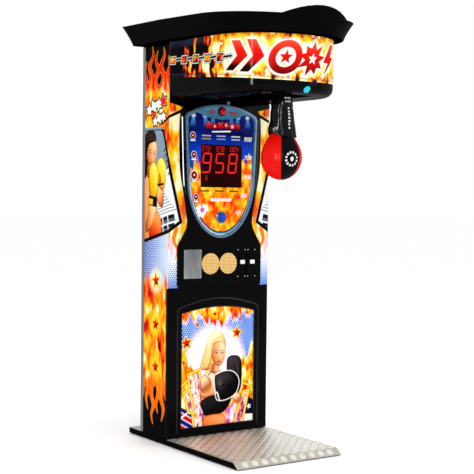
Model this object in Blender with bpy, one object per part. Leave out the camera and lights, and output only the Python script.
"""Boxing punch machine: a coin-operated strength tester with a hanging punch bag.

Metres, +Z up, +X to the player's right, the player standing on the -Y side. Every size below is in the
cabinet's own frame: x = 0 on the middle plane, y = 0 on the cabinet's front face, z = 0 on the floor. The
empty "machine" carries that frame, and sets the origin under the middle of the whole machine.
"""

import math

import bmesh
import bpy
from mathutils import Matrix, Vector

# ---------------------------------------------------------------- driving dimensions
HALF = 0.3315  # half the cabinet's width
DEPTH = 0.283  # the cabinet's depth
TOP = 2.185  # top edge of the side panels, under the roof
BOARD = 0.018
GAP = 0.0003  # between pieces that touch

BASE_FRONT = -0.680
BASE_REAR = 0.4125
BASE_TOP = 0.0365
LIP = 0.042  # run of the tread plate's sloping front lip
TREAD = 0.0025
PAD = 0.006  # height of the rubber feet
FOOT_RADIUS, FOOT_STUD = 0.020, 0.005
FOOT_X = 0.308
FOOT_YS = {"front": -0.635, "rear": 0.390}

DOOR_TOP = 0.8565
WINDOW_HALF = 0.243
WINDOW_LOW, WINDOW_SHOULDER, WINDOW_CROWN = 0.085, 0.717, 0.749
PICTURE_DEPTH = 0.007
HINGE_X, HINGE_Y = HALF + 0.0052, BOARD + GAP
DOOR_LOCK = (-0.272, 0.450)
PANEL_TOP = 2.100  # top of the front board, under the head frame's rails
MAINS_INLET = (0.200, 0.180)

BEZEL_DEPTH = 0.008
BEZEL_WALL = 0.004
COIN_HALF, COIN_TOP = 0.277, 1.085  # the bezel's wide foot, which carries the coin plates
SHIELD_CROWN, SHIELD_TIP = 1.866, 1.129
SHIELD_SHOULDER, SHIELD_WAIST = (0.238, 1.790), (0.226, 1.490)
DISPLAY_HALF, DISPLAY_LOW, DISPLAY_HIGH = 0.1365, 1.409, 1.645
LAMP_Z, BUTTON_Z = 1.8275, 1.2436
BEZEL_LOCK = (0.044, 1.878)
STEM_HOLE = 0.0105  # for the stems of the lamp and the button
LOCK_RADIUS = 0.0095
SPEAKERS = {"left": (-0.064, 0.987), "right": (0.053, 0.987)}
GRILLE_RADIUS = 0.060
COIN_PLATES = {"left": 0.1425, "right": 0.2100}  # x of each coin plate's middle
COIN_MOUTH = (0.1150, 0.2375)  # the bezel's opening behind both coin plates
COIN_PLATE_HALF, COIN_PLATE_LOW, COIN_PLATE_HIGH = 0.030, 0.905, 1.068
REJECT_SHIFT, REJECT_Z, REJECT_HALF = 0.006, 0.9926, (0.0150, 0.0110)
SLOT_SHIFT, SLOT_HALF, SLOT_LOW, SLOT_HIGH = -0.0125, 0.0020, 1.012, 1.046
PLATE_SHEET = 0.003
FLAP_TOP, FLAP_LOW, FLAP_HALF = 0.967, 0.922, 0.0155

HEAD_STRAIGHT = 0.460  # the head's sides run straight this far forward of the cabinet
HEAD_FRONT = 0.776
BAND_SHEET = 0.003
FRONT_LAMP_TILT = math.radians(35)
BAND_LOW, BAND_LOW_FRONT = 1.9985, 1.936  # the printed band's lower edge, at the cabinet and at the front
BAND_HIGH, BAND_HIGH_FRONT = 2.184, 2.1665
TRAY_BOTTOM, TRAY_ROUND, TRAY_WALL = 1.880, 0.040, 0.004
MOUTH_HALF, MOUTH_FRONT, MOUTH_BACK = 0.140, -0.652, -0.012  # the opening that the bag swings up through

ROOF_WALL = 0.004
ROOF_RIM, ROOF_DROP = 2.294, 0.045  # rim height at the rear, and how far it falls towards the front
CREST_HALF, CREST_RISE, CREST_BULGE = 0.200, 0.050, 0.020

PIVOT_Y, PIVOT_Z = -0.563, 1.975
SHAFT_RADIUS = 0.010
ARM_RADIUS = 0.012
ARM_FOOT = 1.600
BAG_TOP, BAG_MIDDLE, BAG_BOTTOM = 1.745, 1.562, 1.447
BAG_RADIUS, BAG_NECK = 0.107, 0.020
SLEEVE_TOP, SLEEVE_BOTTOM = 1.930, 1.672
LUG_X, LUG_REACH, LUG_HALF = 0.051, 0.070, 0.007
HOOK_Y, HOOK_Z, LEVER = -0.672, 2.035, 0.035
PIN_RADIUS = 0.004

SIDES = {"left": -1, "right": 1}


# ---------------------------------------------------------------- materials
def material(name, colour, roughness=0.5, metallic=0.0):
    made = bpy.data.materials.new(name)
    made.use_nodes = True
    shader = made.node_tree.nodes["Principled BSDF"]
    shader.inputs["Base Color"].default_value = (*colour, 1.0)
    shader.inputs["Roughness"].default_value = roughness
    shader.inputs["Metallic"].default_value = metallic
    made.diffuse_color = (*colour, 1.0)
    return made


for old in list(bpy.data.objects):
    bpy.data.objects.remove(old)

BLACK_BOARD = material("black_board", (0.02, 0.02, 0.022), 0.45)
BLACK_MOULDING = material("black_moulding", (0.012, 0.012, 0.014), 0.25)
ROOF_BLACK = material("roof_black", (0.02, 0.02, 0.02), 0.5)
STEEL_PAINT = material("black_painted_steel", (0.03, 0.03, 0.032), 0.5, 0.3)
TREAD_STEEL = material("tread_plate", (0.75, 0.74, 0.72), 0.3, 1.0)
ALUMINIUM = material("aluminium", (0.62, 0.62, 0.64), 0.35, 1.0)
BRIGHT_STEEL = material("bright_steel", (0.70, 0.70, 0.72), 0.25, 1.0)
RUBBER = material("rubber", (0.03, 0.03, 0.03), 0.8)
PRINT = material("printed_sheet", (0.85, 0.35, 0.05), 0.25)
SILVER_BLUE = material("silver_blue", (0.45, 0.58, 0.70), 0.3, 0.8)
RED_LENS = material("red_lens", (0.75, 0.02, 0.03), 0.1)
BLUE_PLASTIC = material("blue_plastic", (0.03, 0.12, 0.75), 0.15)
CYAN_LENS = material("cyan_lens", (0.05, 0.75, 0.80), 0.1)
WHITE_PLASTIC = material("white_plastic", (0.9, 0.9, 0.9), 0.3)
SMOKED = material("smoked_window", (0.08, 0.005, 0.006), 0.08)
GOLD_GRILLE = material("gold_grille", (0.80, 0.62, 0.32), 0.35, 0.9)
CIRCUIT = material("circuit_board", (0.02, 0.16, 0.06), 0.5)
LIGHT_TUBE = material("light_strip", (0.95, 0.95, 0.90), 0.4)
BAG_LEATHER = material("bag_leather", (0.70, 0.02, 0.015), 0.3)
SLEEVE_VINYL = material("sleeve_vinyl", (0.015, 0.015, 0.016), 0.35)

machine = bpy.data.objects.new("machine", None)
bpy.context.collection.objects.link(machine)


# ---------------------------------------------------------------- tools
def finish(name, bm, look):
    """The bmesh as a new object under the empty, its faces pointing out."""
    bmesh.ops.recalc_face_normals(bm, faces=bm.faces[:])
    mesh = bpy.data.meshes.new(name)
    bm.to_mesh(mesh)
    bm.free()
    mesh.shade_smooth()
    mesh.set_sharp_from_angle(angle=math.radians(35))
    mesh.materials.append(look)
    made = bpy.data.objects.new(name, mesh)
    bpy.context.collection.objects.link(made)
    made.parent = machine
    return made


def spot(axis, a, b, along):
    """A point from two coordinates in X, Y, Z order and the third one along the axis."""
    return {"X": (along, a, b), "Y": (a, along, b), "Z": (a, b, along)}[axis]


def prism(name, outline, axis, low, high, look):
    """A closed outline pushed along an axis."""
    bm = bmesh.new()
    ends = [[bm.verts.new(spot(axis, a, b, end)) for a, b in outline] for end in (low, high)]
    for ring in ends:
        bm.faces.new(ring)
    for i in range(len(outline)):
        j = (i + 1) % len(outline)
        bm.faces.new((ends[0][i], ends[0][j], ends[1][j], ends[1][i]))
    return finish(name, bm, look)


def box(name, low, high, look):
    outline = [(low[0], low[1]), (high[0], low[1]), (high[0], high[1]), (low[0], high[1])]
    return prism(name, outline, "Z", low[2], high[2], look)


def circle(centre, radius, steps):
    turns = [2 * math.pi * i / steps for i in range(steps)]
    return [(centre[0] + radius * math.cos(t), centre[1] + radius * math.sin(t)) for t in turns]


def rounded(low, high, radius, steps=4):
    """A rectangle with round corners."""
    corners = ((high[0], high[1], 0), (low[0], high[1], 1), (low[0], low[1], 2), (high[0], low[1], 3))
    points = []
    for x, y, quarter in corners:
        centre_x = x + (radius if x == low[0] else -radius)
        centre_y = y + (radius if y == low[1] else -radius)
        for i in range(steps + 1):
            turn = math.pi / 2 * (quarter + i / steps)
            points.append((centre_x + radius * math.cos(turn), centre_y + radius * math.sin(turn)))
    return points


def rod(name, axis, centre, radius, low, high, look, steps=20):
    return prism(name, circle(centre, radius, steps), axis, low, high, look)


def turned(name, profile, look, steps=24):
    """A closed profile of (radius, height) turned about Z. Points at radius 0 become one pole each."""
    bm = bmesh.new()
    rings = []
    for radius, height in profile:
        if radius == 0:
            rings.append([bm.verts.new((0, 0, height))] * steps)
        else:
            rings.append([bm.verts.new((x, y, height)) for x, y in circle((0, 0), radius, steps)])
    for i, ring in enumerate(rings):
        following = rings[(i + 1) % len(rings)]
        for j in range(steps):
            k = (j + 1) % steps
            corners = [ring[j], ring[k], following[k], following[j]]
            corners = [corner for n, corner in enumerate(corners) if corner not in corners[:n]]
            if len(corners) > 2:
                bm.faces.new(corners)
    return finish(name, bm, look)


def aimed(made, direction, place):
    """Turns a piece made about Z to point along the direction, at the place, in its own mesh."""
    turn = Vector((0, 0, 1)).rotation_difference(Vector(direction)).to_matrix().to_4x4()
    made.data.transform(Matrix.Translation(place) @ turn)
    return made


def boolean(made, other, operation):
    other.hide_render = True
    other.display_type = "WIRE"
    step = made.modifiers.new(other.name, "BOOLEAN")
    step.operation = operation
    step.object = other
    return made


def cut(made, *cutters):
    for cutter in cutters:
        boolean(made, cutter, "DIFFERENCE")
    return made


def join(made, *others):
    for other in others:
        boolean(made, other, "UNION")
    return made


def eased(made, width, segments=1):
    """Softened edges."""
    bevel = made.modifiers.new("eased_edges", "BEVEL")
    bevel.width = width
    bevel.segments = segments
    bevel.limit_method = "ANGLE"
    bevel.angle_limit = math.radians(40)
    return made


def turn_about(made, point):
    """Moves a piece's origin to a point of its joint's axis and leaves its shape where it is."""
    made.data.transform(Matrix.Translation(-Vector(point)))
    made.location = point
    return made


def mixed(a, b, t):
    return a + (b - a) * t


# ---------------------------------------------------------------- base
def base():
    top = BASE_TOP - TREAD - GAP
    slope = LIP / (BASE_TOP - PAD)
    setback = 1.75 * (TREAD + GAP)  # keeps the frame's sloping front clear of the lip's inner face
    low_front = BASE_FRONT + setback
    profile = [(BASE_REAR, PAD), (BASE_REAR, top), (low_front + slope * (top - PAD), top), (low_front, PAD)]
    frame = prism("base_frame", profile, "X", -HALF, HALF, STEEL_PAINT)
    for row in range(5):
        front = -0.615 + 0.205 * row
        for side, sign in SIDES.items():
            xs = sorted((0.020 * sign, 0.288 * sign))
            rear = min(front + 0.17, 0.355)
            cut(frame, box(f"frame_bay_{row}_{side}", (xs[0], front, 0), (xs[1], rear, 0.05), RUBBER))

    lip_in = 1.75 * TREAD
    under = BASE_TOP - TREAD
    drop = slope * (under - PAD)
    plate = [
        (-GAP, under),
        (-GAP, BASE_TOP),
        (BASE_FRONT + LIP, BASE_TOP),
        (BASE_FRONT, PAD),
        (BASE_FRONT + lip_in, PAD),
        (BASE_FRONT + lip_in + drop, under),
    ]
    prism("foot_plate", plate, "X", -HALF, HALF, TREAD_STEEL)
    box("rear_deck_plate", (-HALF, DEPTH + 0.002, under), (HALF, BASE_REAR, BASE_TOP), ALUMINIUM)

    for end, y in FOOT_YS.items():
        for side, sign in SIDES.items():
            centre = (sign * FOOT_X, y)
            cut(frame, rod(f"foot_hole_{end}_{side}", "Z", centre, FOOT_STUD + 0.0008, 0, 0.05, RUBBER, 12))
            profile = [
                (0, 0.029),
                (FOOT_STUD, 0.029),
                (FOOT_STUD, PAD - 0.0004),
                (FOOT_RADIUS - 0.001, PAD - 0.0008),
                (FOOT_RADIUS, 0.002),
                (FOOT_RADIUS - 0.002, 0),
                (0, 0),
            ]
            foot = turned(f"levelling_foot_{end}_{side}", profile, RUBBER, 20)
            foot.data.transform(Matrix.Translation((*centre, 0)))


# ---------------------------------------------------------------- cabinet
def cabinet():
    low = BASE_TOP - TREAD
    inner = HALF - BOARD
    front = BOARD + 2 * GAP
    for side, sign in SIDES.items():
        xs = sorted((sign * inner, sign * HALF))
        box(f"{side}_side_panel", (xs[0], front, low), (xs[1], DEPTH, TOP), BLACK_BOARD)
        near, far = HALF + GAP, HALF + 0.0018
        angle = [
            (near, DEPTH - 0.025),
            (far, DEPTH - 0.025),
            (far, DEPTH + 0.0018),
            (inner, DEPTH + 0.0018),
            (inner, DEPTH + GAP),
            (near, DEPTH + GAP),
        ]
        angle = [(sign * x, y) for x, y in angle]
        prism(f"{side}_edge_trim", angle, "Z", BASE_TOP + 0.001, TOP - 0.004, ALUMINIUM)

    inner -= 0.0005
    back_y = (DEPTH - 0.021, DEPTH - 0.003)
    box("cabinet_floor", (-inner, front, low), (inner, back_y[0] - GAP, low + BOARD), BLACK_BOARD)
    back = box("back_panel", (-inner, back_y[0], low), (inner, back_y[1], TOP), BLACK_BOARD)
    for low_z in (0.32, 1.86):
        for i in range(6):
            z = low_z + 0.026 * i
            cut(back, box(f"vent_{low_z:.1f}_{i}", (-0.11, 0.25, z), (0.11, 0.30, z + 0.010), RUBBER))
    mains_inlet(back, back_y)

    board = box("front_panel", (-HALF, 0, DOOR_TOP + 0.001), (HALF, BOARD, PANEL_TOP), BLACK_BOARD)
    cut(board, box("display_opening", (-0.128, -0.01, 1.4135), (0.128, 0.03, 1.6395), RUBBER))
    coin_low, coin_high = COIN_PLATE_LOW + 0.008, COIN_PLATE_HIGH - 0.008
    coin_hole = (COIN_MOUTH[0], -0.01, coin_low), (COIN_MOUTH[1] - 0.0015, 0.03, coin_high)
    cut(board, box("coin_hole", *coin_hole, RUBBER))
    for side, centre in SPEAKERS.items():
        cut(board, rod(f"speaker_hole_{side}", "Y", centre, 0.046, -0.01, 0.03, RUBBER, 24))
    for name, centre, radius in (
        ("button_hole", (0, BUTTON_Z), 0.012),
        ("lamp_hole", (0, LAMP_Z), 0.011),
        ("lock_hole", BEZEL_LOCK, LOCK_RADIUS + 0.0006),
    ):
        cut(board, rod(name, "Y", centre, radius, -0.01, 0.03, RUBBER, 16))


def mains_inlet(back, back_y):
    """A chassis socket for a mains lead: a flange on the back board, and a shell through it."""
    x, z = MAINS_INLET

    def around(half_x, half_z):
        return (x - half_x, z - half_z), (x + half_x, z + half_z)

    def block(name, half_x, half_z, low, high):
        near, far = around(half_x, half_z)
        return box(name, (near[0], low, near[1]), (far[0], high, far[1]), BLACK_MOULDING)

    cut(back, block("inlet_hole", 0.016, 0.012, 0.25, 0.30))
    flange = rounded(*around(0.026, 0.016), 0.004, 2)
    socket = prism("mains_inlet", flange, "Y", back_y[1] + GAP, back_y[1] + 0.003, BLACK_MOULDING)
    join(socket, block("inlet_shell", 0.0155, 0.0115, back_y[0] - 0.010, back_y[1] + 0.002))
    cut(socket, block("inlet_mouth", 0.0135, 0.0095, back_y[0] - 0.006, back_y[1] + 0.01))


# ---------------------------------------------------------------- lower door
def window_outline(margin):
    """The arched picture window, grown by a margin."""
    half = WINDOW_HALF + margin
    rise = WINDOW_CROWN - WINDOW_SHOULDER
    radius = (WINDOW_HALF**2 + rise**2) / (2 * rise) + margin
    centre = WINDOW_CROWN + margin - radius
    spread = math.asin(half / radius)
    steps = 16
    arc = [spread * (1 - 2 * i / steps) for i in range(steps + 1)]
    crown = [(radius * math.sin(t), centre + radius * math.cos(t)) for t in arc]
    return [(-half, WINDOW_LOW - margin), (half, WINDOW_LOW - margin), *crown]


def knuckles(name, spans, look):
    tubes = []
    for i, (low, high) in enumerate(spans):
        tubes.append(rod(f"{name}_{i}", "Z", (HINGE_X, HINGE_Y), 0.0034, low, high, look, 12))
    return tubes


def lower_door():
    low = BASE_TOP + 0.003
    axis = (HINGE_X, HINGE_Y, low)
    door = box("lower_door", (-HALF, 0, low), (HALF, BOARD, DOOR_TOP), BLACK_MOULDING)
    cut(door, prism("window_cutter", window_outline(0), "Y", -0.01, 0.03, RUBBER))
    lock_hole = rod("door_lock_hole", "Y", DOOR_LOCK, LOCK_RADIUS + 0.0006, -0.01, 0.03, RUBBER, 16)
    cut(door, lock_hole)
    # The picture lies in a pocket cut into the door's back, so that it is seen close behind the front.
    cut(door, prism("picture_pocket", window_outline(0.0095), "Y", PICTURE_DEPTH, 0.03, RUBBER))
    sheet = PICTURE_DEPTH + GAP, PICTURE_DEPTH + 0.0033
    picture = prism("door_picture", window_outline(0.009), "Y", *sheet, PRINT)

    # The hinge's five knuckles share one pin: three stand on the cabinet's leaf, two on the door itself.
    length = (DOOR_TOP - low - 0.010) / 5
    spans = [(low + 0.005 + length * i + 0.0005, low + 0.005 + length * (i + 1) - 0.0005) for i in range(5)]
    leaf_x = (HALF + GAP, HALF + 0.0019)
    leaf = (leaf_x[0], 0.0222, low + 0.005), (leaf_x[1], 0.045, DOOR_TOP - 0.005)
    fixed = box("door_hinge", *leaf, BRIGHT_STEEL)
    for i, span in enumerate(spans[::2]):
        join(fixed, box(f"leaf_web_{i}", (leaf_x[0], 0.0185, span[0]), (HINGE_X, 0.0240, span[1]), RUBBER))
    join(fixed, *knuckles("leaf_knuckle", spans[::2], RUBBER))
    pin = rod("door_hinge_pin", "Z", (HINGE_X, HINGE_Y), 0.0014, low + 0.006, DOOR_TOP - 0.006, RUBBER, 12)
    join(fixed, pin)
    for i, span in enumerate(spans[1::2]):
        join(door, box(f"door_web_{i}", (HALF - 0.001, 0.0110, span[0]), (HINGE_X, 0.0170, span[1]), RUBBER))
    join(door, *knuckles("door_knuckle", spans[1::2], RUBBER))
    cut(door, rod("door_hinge_bore", "Z", (HINGE_X, HINGE_Y), 0.0019, low, DOOR_TOP, RUBBER, 12))
    for piece in (door, picture):
        turn_about(piece, axis)

    lock = lock_cylinder("door_lock", DOOR_LOCK, -0.003, 0.024, 0.036)
    turn_about(lock, (DOOR_LOCK[0], 0, DOOR_LOCK[1]))


def lock_cylinder(name, centre, face, back, reach):
    """A cam lock: a round plug with a head, a keyway, and a cam that stands up at rest."""
    lock = rod(name, "Y", centre, LOCK_RADIUS, face + 0.002, back + 0.0005, BRIGHT_STEEL, 16)
    head = rod(f"{name}_head", "Y", centre, LOCK_RADIUS + 0.002, face, face + 0.0026, BRIGHT_STEEL, 20)
    x, z = centre
    cam = box(f"{name}_cam", (x - 0.006, back, z - 0.008), (x + 0.006, back + 0.002, z + reach), BRIGHT_STEEL)
    join(lock, head, cam)
    keyway = (x - 0.0008, face - 0.01, z - 0.004), (x + 0.0008, face + 0.006, z + 0.004)
    return cut(lock, box(f"{name}_keyway", *keyway, RUBBER))


# ---------------------------------------------------------------- bezel and shield
def smooth(points, steps):
    """A Catmull-Rom curve through the points, ends included."""
    padded = [points[0], *points, points[-1]]
    curve = []
    for a, b, c, d in zip(padded, padded[1:], padded[2:], padded[3:]):
        for i in range(steps):
            t = i / steps
            curve.append(
                tuple(
                    0.5 * (2 * q + (r - p) * t + (2 * p - 5 * q + 4 * r - s) * t**2)
                    + 0.5 * (3 * q - p - 3 * r + s) * t**3
                    for p, q, r, s in zip(a, b, c, d)
                )
            )
    return [*curve, points[-1]]


def mirrored(right):
    """A right half, from the bottom up, made into a whole outline."""
    return [*right, *[(-x, z) for x, z in reversed(right) if abs(x) > 1e-6]]


def bezel_outline(inset):
    waist = [
        (0.272, COIN_TOP + 0.012),
        (0.240, COIN_TOP + 0.062),
        (0.2135, 1.215),
        (0.238, 1.366),
        (0.262, 1.500),
        (0.268, 1.640),
        (0.266, 1.785),
        (0.246, 1.842),
        (0.190, 1.878),
        (0.100, 1.899),
        (0.0, 1.906),
    ]
    half, low = COIN_HALF - inset, DOOR_TOP + 0.0015 + inset
    centre = Vector((0, 1.4))
    curve = [(x, z) for x, z in smooth(waist, 3)]
    moved = []
    for i, (x, z) in enumerate(curve):
        before, after = Vector(curve[max(i - 1, 0)]), Vector(curve[min(i + 1, len(curve) - 1)])
        along = (after - before).normalized()
        inward = Vector((-along.y, along.x))
        if inward.dot(centre - Vector((x, z))) < 0 and i > 6:
            inward = -inward
        point = Vector((x, z)) + inward * inset
        moved.append((max(point.x, 0.0), point.y))
    moved[-1] = (0.0, curve[-1][1] - inset)
    foot = [(half - 0.012, low), (half, low + 0.012), (half, COIN_TOP - 0.006)]
    return mirrored([*foot, *moved])


def neck_outline():
    """The black band of the front above the shield, its lower edge arching down to the bezel's shoulders."""
    top = TRAY_BOTTOM - 2 * GAP
    arch = [(HALF * (1 - i / 8), 1.862 - 0.055 * math.sin(math.pi / 2 * i / 8)) for i in range(5)]
    return mirrored([(0.0, 1.80), (arch[-1][0], 1.80), *arch[::-1], (HALF, top), (0.0, top)])


def shield_outline(inset):
    """A shield: an arched top, sides that draw in, and a round foot."""
    shoulder, waist = SHIELD_SHOULDER, SHIELD_WAIST
    half = waist[0] - inset
    depth = waist[1] - SHIELD_TIP - inset * 1.2
    steps = 14
    foot = []
    for i in range(steps):
        t = math.cos(math.pi / 2 * i / steps)
        foot.append((half * (1 - t**2.2) ** 0.52, waist[1] - depth * t))
    right = [*foot, (waist[0] - inset, waist[1]), (mixed(waist[0], shoulder[0], 0.5) - inset, 1.64)]
    corner_x, corner_z, radius = shoulder[0] - inset, shoulder[1] - inset * 0.6, 0.022
    right.append((corner_x, corner_z))
    right.append((corner_x - 0.3 * radius, corner_z + 0.75 * radius))
    edge = corner_x - radius
    crown = SHIELD_CROWN - inset
    edge_z = corner_z + 1.15 * radius
    arc = (edge**2 + (crown - edge_z) ** 2) / (2 * (crown - edge_z))
    for i in range(9):
        x = edge * (1 - i / 8)
        right.append((x, crown - arc + math.sqrt(arc**2 - x**2)))
    return mirrored(right)


def front():
    face = -BEZEL_DEPTH
    bezel = prism("bezel", bezel_outline(0), "Y", face, -GAP, BLACK_MOULDING)
    hollow = prism("bezel_hollow", bezel_outline(BEZEL_WALL), "Y", face + BEZEL_WALL, 0.005, RUBBER)
    join(bezel, prism("bezel_neck", neck_outline(), "Y", -0.005, -2 * GAP, BLACK_MOULDING))
    cut(bezel, hollow)
    cut(bezel, box("display_hole", (-0.128, -0.05, 1.4135), (0.128, 0.01, 1.6395), RUBBER))
    mouth = (COIN_MOUTH[0], -0.05, COIN_PLATE_LOW + 0.007), (COIN_MOUTH[1], 0.01, COIN_PLATE_HIGH - 0.007)
    cut(bezel, box("coin_mouth", *mouth, RUBBER))
    for side, centre in SPEAKERS.items():
        cut(bezel, rod(f"grille_mouth_{side}", "Y", centre, 0.050, -0.05, 0.01, RUBBER, 24))
    lamp_hole = ("lamp_mouth", (0, LAMP_Z), STEM_HOLE)
    button_hole = ("button_mouth", (0, BUTTON_Z), STEM_HOLE)
    lock_hole = ("lock_mouth", BEZEL_LOCK, LOCK_RADIUS + 0.0006)
    for name, centre, radius in (lamp_hole, button_hole, lock_hole):
        cut(bezel, rod(name, "Y", centre, radius, -0.05, 0.01, RUBBER, 16))

    back = face - GAP
    rim = prism("shield_rim", shield_outline(0), "Y", back - 0.008, back, SILVER_BLUE)
    cut(rim, prism("rim_inside", shield_outline(0.0125), "Y", -0.06, 0, RUBBER))
    panel = prism("shield_panel", shield_outline(0.0130), "Y", back - 0.003, back, PRINT)
    slack = 0.0005
    half = DISPLAY_HALF + slack
    mouth = (-half, -0.06, DISPLAY_LOW - slack), (half, 0, DISPLAY_HIGH + slack)
    cut(panel, box("window_mouth", *mouth, RUBBER))
    for name, centre, radius in (lamp_hole, button_hole):
        cut(panel, rod(f"panel_{name}", "Y", centre, radius, -0.06, 0, RUBBER, 16))
    face_y = back - 0.003
    window = (-DISPLAY_HALF, face_y - 0.0015, DISPLAY_LOW), (DISPLAY_HALF, back, DISPLAY_HIGH)
    eased(box("display_window", *window, SMOKED), 0.0008)

    # The display's board stands behind the front board, and its digits reach forward through the opening.
    rear = BOARD + GAP
    display = box("score_display", (-0.136, rear, 1.406), (0.136, rear + 0.0016, 1.647), CIRCUIT)
    for i in range(3):
        x = -0.080 + 0.080 * i
        large = (x - 0.032, -0.002, 1.462), (x + 0.032, rear + 0.001, 1.566)
        small = (x - 0.030, -0.002, 1.588), (x + 0.030, rear + 0.001, 1.616)
        join(display, box(f"digit_{i}", *large, RUBBER), box(f"small_digit_{i}", *small, RUBBER))

    stem = STEM_HOLE - 0.0015
    dome = [(0, 0.0135), (0.010, 0.0125), (0.018, 0.0085), (0.0205, 0.003)]
    flange = [(0.025, 0.0025), (0.025, 0), (stem, 0), (stem, -0.036), (0, -0.036)]
    lamp = turned("ready_lamp", [*dome, *flange], RED_LENS)
    aimed(lamp, (0, -1, 0), (0, face_y - GAP, LAMP_Z))

    collar = [(0.0262, -0.001), (0.0262, 0.0085), (0.031, 0.0085), (0.0345, 0.006), (0.0345, -0.001)]
    ring = turned("button_ring", collar, RUBBER)
    join(panel, aimed(ring, (0, -1, 0), (0, face_y, BUTTON_Z)))
    cap = [(0, 0.0150), (0.014, 0.0142), (0.0225, 0.0118), (0.0255, 0.0085), (0.0255, 0.0052)]
    button = turned("start_button", [*cap, (stem, 0.0052), (stem, -0.040), (0, -0.040)], BLUE_PLASTIC)
    aimed(button, (0, -1, 0), (0, face_y - GAP, BUTTON_Z))
    turn_about(button, (0, face_y - GAP, BUTTON_Z))
    lock = lock_cylinder("bezel_lock", BEZEL_LOCK, back - 0.0028, 0.0225, 0.034)
    turn_about(lock, (BEZEL_LOCK[0], 0, BEZEL_LOCK[1]))


# ---------------------------------------------------------------- coin side and speakers
def coin_plate(side, x):
    back = -BEZEL_DEPTH - GAP
    outline = rounded((x - COIN_PLATE_HALF, COIN_PLATE_LOW), (x + COIN_PLATE_HALF, COIN_PLATE_HIGH), 0.004, 2)
    plate = prism(f"coin_plate_{side}", outline, "Y", back - PLATE_SHEET, back, BLACK_MOULDING)
    middle = x + REJECT_SHIFT
    # The return cup is a pocket behind the plate's lower opening, open to the front behind the flap.
    cup = (middle - 0.0185, back - 0.001, FLAP_LOW - 0.003), (middle + 0.0185, 0.024, FLAP_TOP + 0.0035)
    join(plate, box(f"cup_{side}", *cup, RUBBER))
    hollow = (middle - 0.0165, back - 0.01, FLAP_LOW - 0.001), (middle + 0.0165, 0.022, FLAP_TOP + 0.0015)
    cut(plate, box(f"cup_hollow_{side}", *hollow, RUBBER))
    chute = (middle - 0.0150, back + 0.0008, FLAP_TOP), (middle + 0.0150, 0.018, FLAP_TOP + 0.02)
    cut(plate, box(f"cup_chute_{side}", *chute, RUBBER))
    cut(plate, coin_slot(f"coin_slot_{side}", x, back - 0.01, back + 0.01))

    def key(half_x, half_z):
        return rounded((middle - half_x, REJECT_Z - half_z), (middle + half_x, REJECT_Z + half_z), 0.003, 2)

    hole = key(REJECT_HALF[0] + 0.0006, REJECT_HALF[1] + 0.0006)
    cut(plate, prism(f"reject_hole_{side}", hole, "Y", back - 0.01, back + 0.002, RUBBER))
    button = prism(f"reject_button_{side}", key(*REJECT_HALF), "Y", back - 0.0075, 0.0, WHITE_PLASTIC)
    turn_about(eased(button, 0.0012), (middle, back, REJECT_Z))

    pin = (back - 0.0002, FLAP_TOP - 0.0015)
    edges = middle - FLAP_HALF, middle + FLAP_HALF
    leaf = (edges[0], back - 0.0015, FLAP_LOW), (edges[1], back, FLAP_TOP - 0.002)
    flap = box(f"coin_return_flap_{side}", *leaf, BLACK_MOULDING)
    join(flap, rod(f"flap_barrel_{side}", "X", pin, 0.0014, *edges, RUBBER, 10))
    turn_about(flap, (middle, *pin))


def coin_slot(name, x, low, high):
    middle = x + SLOT_SHIFT
    return box(name, (middle - SLOT_HALF, low, SLOT_LOW), (middle + SLOT_HALF, high, SLOT_HIGH), RUBBER)


def coin_side():
    back = -BEZEL_DEPTH - GAP
    blank = rounded((-0.237, 0.908), (-0.1235, 1.067), 0.004, 2)
    prism("blank_plate", blank, "Y", back - 0.002, back, BRIGHT_STEEL)
    for side, (x, z) in SPEAKERS.items():
        edge = GRILLE_RADIUS - 0.0018
        domed = [(0, 0.0042), (edge * 0.6, 0.0038), (edge, 0.0020), (edge, 0), (0, 0)]
        aimed(turned(f"speaker_grille_{side}", domed, GOLD_GRILLE, 32), (0, -1, 0), (x, back, z))
        cone = [
            (0, -0.016),
            (0.012, -0.018),
            (0.040, -0.002),
            (0.046, 0),
            (0.056, 0),
            (0.056, -0.004),
            (0.046, -0.008),
            (0.034, -0.030),
            (0.034, -0.048),
            (0, -0.048),
        ]
        aimed(turned(f"speaker_{side}", cone, STEEL_PAINT, 16), (0, -1, 0), (x, BOARD + GAP, z))
    for side, x in COIN_PLATES.items():
        coin_plate(side, x)

    mech = box("coin_mechs", (0.117, 0.008, 0.974), (0.165, 0.100, 1.052), STEEL_PAINT)
    join(mech, box("coin_mech_b", (0.186, 0.008, 0.974), (0.234, 0.100, 1.052), RUBBER))
    join(mech, box("mech_bridge", (0.117, 0.030, 1.040), (0.234, 0.090, 1.056), RUBBER))
    for side, x in COIN_PLATES.items():
        cut(mech, coin_slot(f"mech_slot_{side}", x, -0.02, 0.060))
    # Accepted coins leave the backs of both mechanisms and fall down one chute to the cash box.
    join(mech, box("coin_chute", (0.130, 0.090, 0.300), (0.222, 0.122, 1.050), RUBBER))
    cut(mech, box("chute_hollow", (0.132, 0.092, 0.290), (0.220, 0.120, 0.970), RUBBER))
    floor = BASE_TOP - TREAD + BOARD + GAP
    low, high = (0.060, 0.060, floor), (0.290, 0.235, floor + 0.140)
    money = box("cash_box", low, high, BRIGHT_STEEL)
    inside = [a + 0.002 for a in low], [high[0] - 0.002, high[1] - 0.002, high[2] + 0.01]
    cut(money, box("cash_hollow", *inside, RUBBER))


# ---------------------------------------------------------------- head
def head_side(offset, back, steps=24):
    """Half a D from the back left corner round the front to the back right corner, grown by an offset."""
    half, run = HALF + offset, HEAD_FRONT - HEAD_STRAIGHT + offset
    points = [(-half, back), (-half, mixed(back, -HEAD_STRAIGHT, 0.5))]
    for i in range(steps + 1):
        turn = math.pi * i / steps
        points.append((-half * math.cos(turn), -HEAD_STRAIGHT - run * math.sin(turn)))
    return [*points, (half, points[1][1]), (half, back)]


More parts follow.
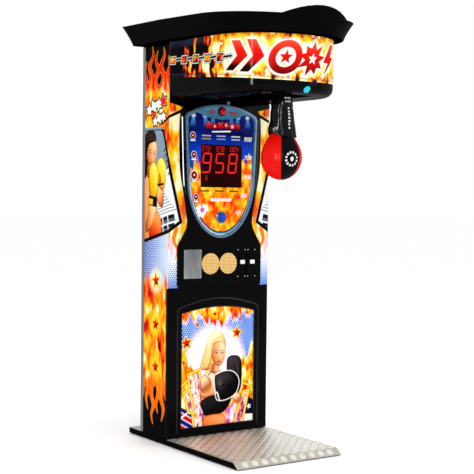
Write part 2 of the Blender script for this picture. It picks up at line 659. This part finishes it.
def band_low(y):
    return mixed(BAND_LOW, BAND_LOW_FRONT, -y / HEAD_FRONT)


def band_high(y):
    return mixed(BAND_HIGH, BAND_HIGH_FRONT, -y / HEAD_FRONT)


def marquee_band():
    """One sheet bent round the head, its lower and upper edges on two sloping planes."""
    bm = bmesh.new()
    rings = []
    for offset in (0, -BAND_SHEET):
        outline = head_side(offset, -0.0006)
        rings.append([bm.verts.new((x, y, band_low(y))) for x, y in outline])
        rings.append([bm.verts.new((x, y, band_high(y))) for x, y in outline])
    order = (rings[0], rings[1], rings[3], rings[2])
    for ring, following in zip(order, (*order[1:], order[0])):
        for i in range(len(ring) - 1):
            bm.faces.new((ring[i], ring[i + 1], following[i + 1], following[i]))
    for end in (0, -1):
        bm.faces.new([ring[end] for ring in order])
    finish("marquee_band", bm, PRINT)


def tray_solid(name, inset, look):
    """The tray's outer or inner form: a D whose lower edge is rounded."""
    bm = bmesh.new()
    radius = TRAY_ROUND - inset
    rows = [(0, 2.05)]
    for i in range(6):
        turn = math.pi / 2 * i / 5
        rows.append((-radius * (1 - math.cos(turn)), TRAY_BOTTOM + TRAY_ROUND - radius * math.sin(turn)))
    rings = []
    for offset, z in rows:
        back = -0.0010 if inset == 0 else 0.02
        rings.append([bm.verts.new((x, y, z)) for x, y in head_side(offset - inset, back)])
    for ring, following in zip(rings, rings[1:]):
        for i in range(len(ring)):
            j = (i + 1) % len(ring)
            bm.faces.new((ring[i], ring[j], following[j], following[i]))
    bm.faces.new(rings[0])
    bm.faces.new(rings[-1])
    return finish(name, bm, look)


def head_tray():
    tray = tray_solid("head_tray", 0, BLACK_MOULDING)
    cut(tray, tray_solid("tray_hollow", TRAY_WALL, RUBBER))
    gap = 0.0006
    slope = [(0.05, band_low(0.05) - gap), (-0.85, band_low(-0.85) - gap), (-0.85, 2.2), (0.05, 2.2)]
    cut(tray, prism("tray_trim", slope, "X", -0.5, 0.5, RUBBER))
    mouth = rounded((-MOUTH_HALF, MOUTH_FRONT), (MOUTH_HALF, MOUTH_BACK), 0.030, 4)
    cut(tray, prism("tray_mouth", mouth, "Z", 1.80, 1.93, RUBBER))
    # The rear notch clears the bezel's raised top behind the tray.
    cut(tray, box("tray_notch", (-0.29, -0.034, 1.80), (0.29, 0.05, 1.912), RUBBER))

    tilt = FRONT_LAMP_TILT
    out = (0, -math.cos(tilt), -math.sin(tilt))
    y = -HEAD_FRONT + TRAY_ROUND * (1 - math.cos(tilt))
    z = TRAY_BOTTOM + TRAY_ROUND * (1 - math.sin(tilt))
    seat = (0, y + out[1] * 0.001, z + out[2] * 0.001)
    cut(tray, aimed(rod("front_lamp_hole", "Z", (0, 0), 0.0082, -0.03, 0.03, RUBBER, 16), out, seat))
    dome = [(0, 0.010), (0.008, 0.009), (0.0135, 0.006), (0.016, 0.003), (0.019, 0.0022), (0.019, 0)]
    aimed(turned("front_lamp", [*dome, (0.0075, 0), (0.0075, -0.012), (0, -0.012)], CYAN_LENS), out, seat)


def rim_height(x, y):
    """The roof's rim falls towards the front and rises again into a crest over the middle of the front."""
    run = max(0.0, (DEPTH - y) / (DEPTH + HEAD_FRONT + 0.104))
    return ROOF_RIM - ROOF_DROP * run**1.6 + CREST_RISE * crest(x, y)


def crest(x, y):
    if y > -HEAD_STRAIGHT:
        return 0.0
    swell = max(0.0, 1 - (x / CREST_HALF) ** 2)
    return swell * min(1.0, (-HEAD_STRAIGHT - y) / 0.25)


def roof_shell():
    """A moulded cap: its walls flare out from the head to a rim, and its top is closed inside the rim."""
    rows = (
        (0.052, 0.024, 0.00),
        (0.064, 0.034, 0.30),
        (0.080, 0.046, 0.62),
        (0.098, 0.058, 0.93),
        (0.1035, 0.061, 1.00),
        (0.094, 0.052, 1.00),
        (0.078, 0.038, 0.90),
        (0.020, -0.020, 0.84),
        (-0.120, -0.120, 0.82),
    )
    bm = bmesh.new()
    rings = []
    for offset, rear, share in rows:
        side = head_side(offset, DEPTH + rear, 32)
        back = [(mixed(side[-1][0], side[0][0], t), DEPTH + rear) for t in (0.25, 0.5, 0.75)]
        ring = []
        for x, y in [*side, *back]:
            swell = crest(x, y)
            low = band_high(min(y, 0.0)) + 0.004
            if offset > 0.05:
                y -= CREST_BULGE * swell * min(share, 1.0)
            ring.append(bm.verts.new((x, y, mixed(low, rim_height(x, y), share))))
        rings.append(ring)
    for ring, following in zip(rings, rings[1:]):
        for i in range(len(ring)):
            j = (i + 1) % len(ring)
            bm.faces.new((ring[i], ring[j], following[j], following[i]))
    hub = bm.verts.new((0, -0.20, mixed(BAND_HIGH, ROOF_RIM, 0.84)))
    last = rings[-1]
    for i in range(len(last)):
        bm.faces.new((last[i], last[(i + 1) % len(last)], hub))
    roof = finish("roof_shell", bm, ROOF_BLACK)
    wall = roof.modifiers.new("wall", "SOLIDIFY")
    wall.thickness = ROOF_WALL
    wall.offset = -1


def head_frame():
    """Rails that carry the bag's bearings from the cabinet, with the bars for the stops and the latch."""
    z = (2.105, 2.145)
    frame = box("head_frame", (-0.205, -0.690, z[0]), (-0.175, 0.258, z[1]), STEEL_PAINT)
    bars = [
        ("rail_b", (0.175, -0.690, z[0]), (0.205, 0.258, z[1])),
        ("cross_rear", (-0.312, 0.228, z[0] + 0.002), (0.312, 0.256, z[1] - 0.002)),
        ("cross_middle", (-0.312, 0.020, z[0] + 0.002), (0.312, 0.048, z[1] - 0.002)),
        ("cross_front", (-0.190, -0.688, z[0] + 0.002), (0.190, -0.660, z[1] - 0.002)),
        ("rest_bar", (-0.172, -0.520, 2.034), (0.172, -0.504, 2.050)),
        ("stop_bar", (-0.172, -0.645, 1.936), (0.172, -0.606, 1.9495)),
    ]
    for side, sign in SIDES.items():
        xs = sorted((sign * 0.168, sign * 0.180))
        bars.append((f"hanger_{side}", (xs[0], -0.687, 1.928), (xs[1], -0.470, 2.110)))
    for name, low, high in bars:
        join(frame, box(name, low, high, RUBBER))
    join(frame, rod("hook_rod", "X", (HOOK_Y, HOOK_Z), PIN_RADIUS, -0.172, 0.172, RUBBER, 12))
    for name, sign in (("left", -1), ("right", 1)):
        xs = sorted((sign * 0.1675, sign * 0.139))
        block = rounded((PIVOT_Y - 0.034, PIVOT_Z - 0.026), (PIVOT_Y + 0.034, PIVOT_Z + 0.026), 0.012, 3)
        bearing = prism(f"bearing_{name}", block, "X", xs[0], xs[1], STEEL_PAINT)
        bore = SHAFT_RADIUS + 0.0002
        cut(bearing, rod(f"bearing_bore_{name}", "X", (PIVOT_Y, PIVOT_Z), bore, -0.3, 0.3, RUBBER, 32))

    strip = box("marquee_light", (-0.155, -0.7205, 2.030), (0.155, -0.7005, 2.050), LIGHT_TUBE)
    for i, x in enumerate((-0.12, 0.12)):
        join(strip, box(f"light_bracket_{i}", (x - 0.01, -0.716, 2.045), (x + 0.01, -0.7005, 2.125), RUBBER))
        join(strip, box(f"light_foot_{i}", (x - 0.01, -0.712, 2.115), (x + 0.01, -0.6885, 2.125), RUBBER))


# ---------------------------------------------------------------- punch arm, latch, bag
def arm():
    centre = (PIVOT_Y, PIVOT_Z)
    at = (0, PIVOT_Y, PIVOT_Z)
    shaft = rod("pivot_shaft", "X", centre, SHAFT_RADIUS, -0.166, 0.166, BRIGHT_STEEL, 32)
    lever = rod("punch_arm", "X", centre, 0.022, -0.034, 0.034, STEEL_PAINT, 24)
    join(lever, rod("arm_tube", "Z", (0, PIVOT_Y), ARM_RADIUS, ARM_FOOT, PIVOT_Z - 0.012, RUBBER, 16))
    join(lever, rod("lug_hub", "X", centre, 0.018, 0.030, LUG_X + 0.006, RUBBER, 20))
    lug_low = (LUG_X - 0.006, PIVOT_Y - LUG_HALF, PIVOT_Z)
    lug = lug_low, (LUG_X + 0.006, PIVOT_Y + LUG_HALF, PIVOT_Z + LUG_REACH)
    join(lever, box("lug", *lug, RUBBER))
    cut(lever, rod("arm_bore", "X", centre, SHAFT_RADIUS + GAP, -0.2, 0.2, RUBBER, 32))
    disc = rod("encoder_disc", "X", centre, 0.036, 0.098, 0.100, ALUMINIUM, 32)
    hub = rod("encoder_hub", "X", centre, 0.015, 0.0985, 0.112, RUBBER, 20)
    join(disc, hub)
    for i in range(12):
        turn = 2 * math.pi * i / 12
        hole = (PIVOT_Y + 0.029 * math.cos(turn), PIVOT_Z + 0.029 * math.sin(turn))
        cut(disc, rod(f"encoder_hole_{i}", "X", hole, 0.003, 0.09, 0.105, RUBBER, 4))
    cut(disc, rod("encoder_bore", "X", centre, SHAFT_RADIUS + GAP, -0.2, 0.2, RUBBER, 32))

    # The bag is a teardrop: half an ellipse under its widest place, and a narrowing waist above.
    steps = 7
    profile = [(0, BAG_TOP)]
    for i in range(steps):
        t = 1 - i / steps
        waist = mixed(BAG_NECK, BAG_RADIUS, math.cos(math.pi / 2 * t) ** 1.3)
        profile.append((waist, mixed(BAG_MIDDLE, BAG_TOP, t)))
    for i in range(steps):
        turn = math.pi / 2 * i / steps
        profile.append((BAG_RADIUS * math.cos(turn), BAG_MIDDLE - (BAG_MIDDLE - BAG_BOTTOM) * math.sin(turn)))
    profile.append((0, BAG_BOTTOM))
    bag = turned("bag", profile, BAG_LEATHER, 28)
    bag.data.transform(Matrix.Translation((0, PIVOT_Y, 0)))
    cut(bag, rod("bag_bore", "Z", (0, PIVOT_Y), ARM_RADIUS + 0.0006, ARM_FOOT - 0.001, 1.8, RUBBER, 16))
    wall = 0.003
    outer = [(0.049, SLEEVE_TOP), (0.053, 1.86), (0.060, 1.78), (0.0685, SLEEVE_BOTTOM)]
    sleeve = turned("bag_sleeve", [*outer, *[(r - wall, z) for r, z in reversed(outer)]], SLEEVE_VINYL, 24)
    sleeve.data.transform(Matrix.Translation((0, PIVOT_Y, 0)))
    for piece in (shaft, lever, disc, bag, sleeve):
        turn_about(piece, at)

    stop_x = (LUG_X - 0.009, LUG_X + 0.009)
    lug_rear = PIVOT_Y + LUG_HALF + 2 * GAP
    box("rest_stop", (stop_x[0], lug_rear, 2.028), (stop_x[1], -0.520 - GAP, 2.044), RUBBER)
    box("punch_stop", (stop_x[0], -0.640, 1.9495 + GAP), (stop_x[1], -0.612, 1.9618), RUBBER)


def latch():
    """A hook that holds the lug, worked by a solenoid through a pin in the hook's slotted lever."""
    hook_x = (LUG_X - 0.005, LUG_X + 0.005)
    shape = [
        (-0.007, -0.050),
        (0.004, -0.064),
        (0.010, -0.064),
        (0.026, -0.066),
        (0.026, -0.058),
        (0.012, -0.052),
        (0.007, -0.040),
        (0.009, 0.0),
        (0.007, 0.010),
        (0.007, LEVER + 0.009),
        (-0.007, LEVER + 0.009),
        (-0.007, 0.010),
        (-0.009, 0.0),
    ]
    outline = [(HOOK_Y + y, HOOK_Z + z) for y, z in shape]
    hook = prism("latch_hook", outline, "X", *hook_x, BRIGHT_STEEL)
    cut(hook, rod("hook_bore", "X", (HOOK_Y, HOOK_Z), PIN_RADIUS + 0.0006, 0, 0.1, RUBBER, 12))
    low, high = HOOK_Z + LEVER - 0.006, HOOK_Z + LEVER + 0.005
    slot = rounded((HOOK_Y - 0.0029, low), (HOOK_Y + 0.0029, high), 0.0028, 3)
    cut(hook, prism("hook_slot", slot, "X", 0, 0.1, RUBBER))
    turn_about(hook, (LUG_X, HOOK_Y, HOOK_Z))

    line = HOOK_Z + LEVER
    body = rod("solenoid_body", "Y", (LUG_X, line), 0.015, -0.748, -0.712, STEEL_PAINT, 20)
    join(body, box("solenoid_saddle", (LUG_X - 0.010, -0.745, line), (LUG_X + 0.010, -0.716, 2.0995), RUBBER))
    join(body, box("solenoid_tab", (LUG_X - 0.012, -0.745, 2.0985), (LUG_X + 0.012, -0.665, 2.1045), RUBBER))
    cut(body, rod("solenoid_bore", "Y", (LUG_X, line), 0.0058, -0.745, -0.70, RUBBER, 16))
    plunger = rod("solenoid_plunger", "Y", (LUG_X, line), 0.005, -0.7305, -0.684, BRIGHT_STEEL, 16)
    low, high = line - 0.004, line + 0.004
    near, far = LUG_X - 0.0085, LUG_X + 0.0085
    for name, left in (("near", near), ("far", far - 0.003)):
        join(plunger, box(f"fork_{name}", (left, -0.688, low), (left + 0.003, HOOK_Y + 0.004, high), RUBBER))
    join(plunger, box("fork_root", (near, -0.688, low), (far, -0.6835, high), RUBBER))
    join(plunger, rod("fork_pin", "X", (HOOK_Y, line), 0.0019, LUG_X - 0.0085, LUG_X + 0.0085, RUBBER, 10))
    turn_about(plunger, (LUG_X, HOOK_Y, line))


# ---------------------------------------------------------------- inside the cabinet
def electronics():
    floor = BASE_TOP - TREAD + BOARD + GAP
    supply = box("power_supply", (-0.290, 0.070, floor), (-0.090, 0.200, floor + 0.060), ALUMINIUM)
    for i in range(8):
        x = -0.284 + 0.024 * i
        slot = (x, 0.060, floor + 0.045), (x + 0.012, 0.210, floor + 0.070)
        cut(supply, box(f"supply_fin_{i}", *slot, RUBBER))
    back = DEPTH - 0.021 - GAP
    board = box("control_board", (-0.150, back - 0.0095, 1.20), (0.150, back - 0.0080, 1.42), CIRCUIT)
    parts = (
        ("processor", (-0.030, 1.30), (0.025, 0.025), 0.004),
        ("relay_bank", (-0.110, 1.37), (0.030, 0.020), 0.018),
        ("connector_row", (0.060, 1.235), (0.070, 0.010), 0.012),
        ("capacitor", (0.105, 1.35), (0.018, 0.018), 0.028),
    )
    for name, (x, z), (half_x, half_z), height in parts:
        low = (x - half_x, back - 0.0090 - height, z - half_z)
        join(board, box(name, low, (x + half_x, back - 0.0085, z + half_z), RUBBER))
    for i, (x, z) in enumerate(((-0.14, 1.21), (0.14, 1.21), (-0.14, 1.41), (0.14, 1.41))):
        join(board, rod(f"board_post_{i}", "Y", (x, z), 0.004, back - 0.0085, back, RUBBER, 8))


base()
cabinet()
lower_door()
front()
coin_side()
marquee_band()
head_tray()
roof_shell()
head_frame()
arm()
latch()
electronics()

# The origin stands on the floor under the middle of the machine, from the roof's crest to the base's rear.
bpy.context.view_layer.update()
FRONT_MOST = -(HEAD_FRONT + 0.1035 + CREST_BULGE)
machine.location.y = -(FRONT_MOST + BASE_REAR) / 2
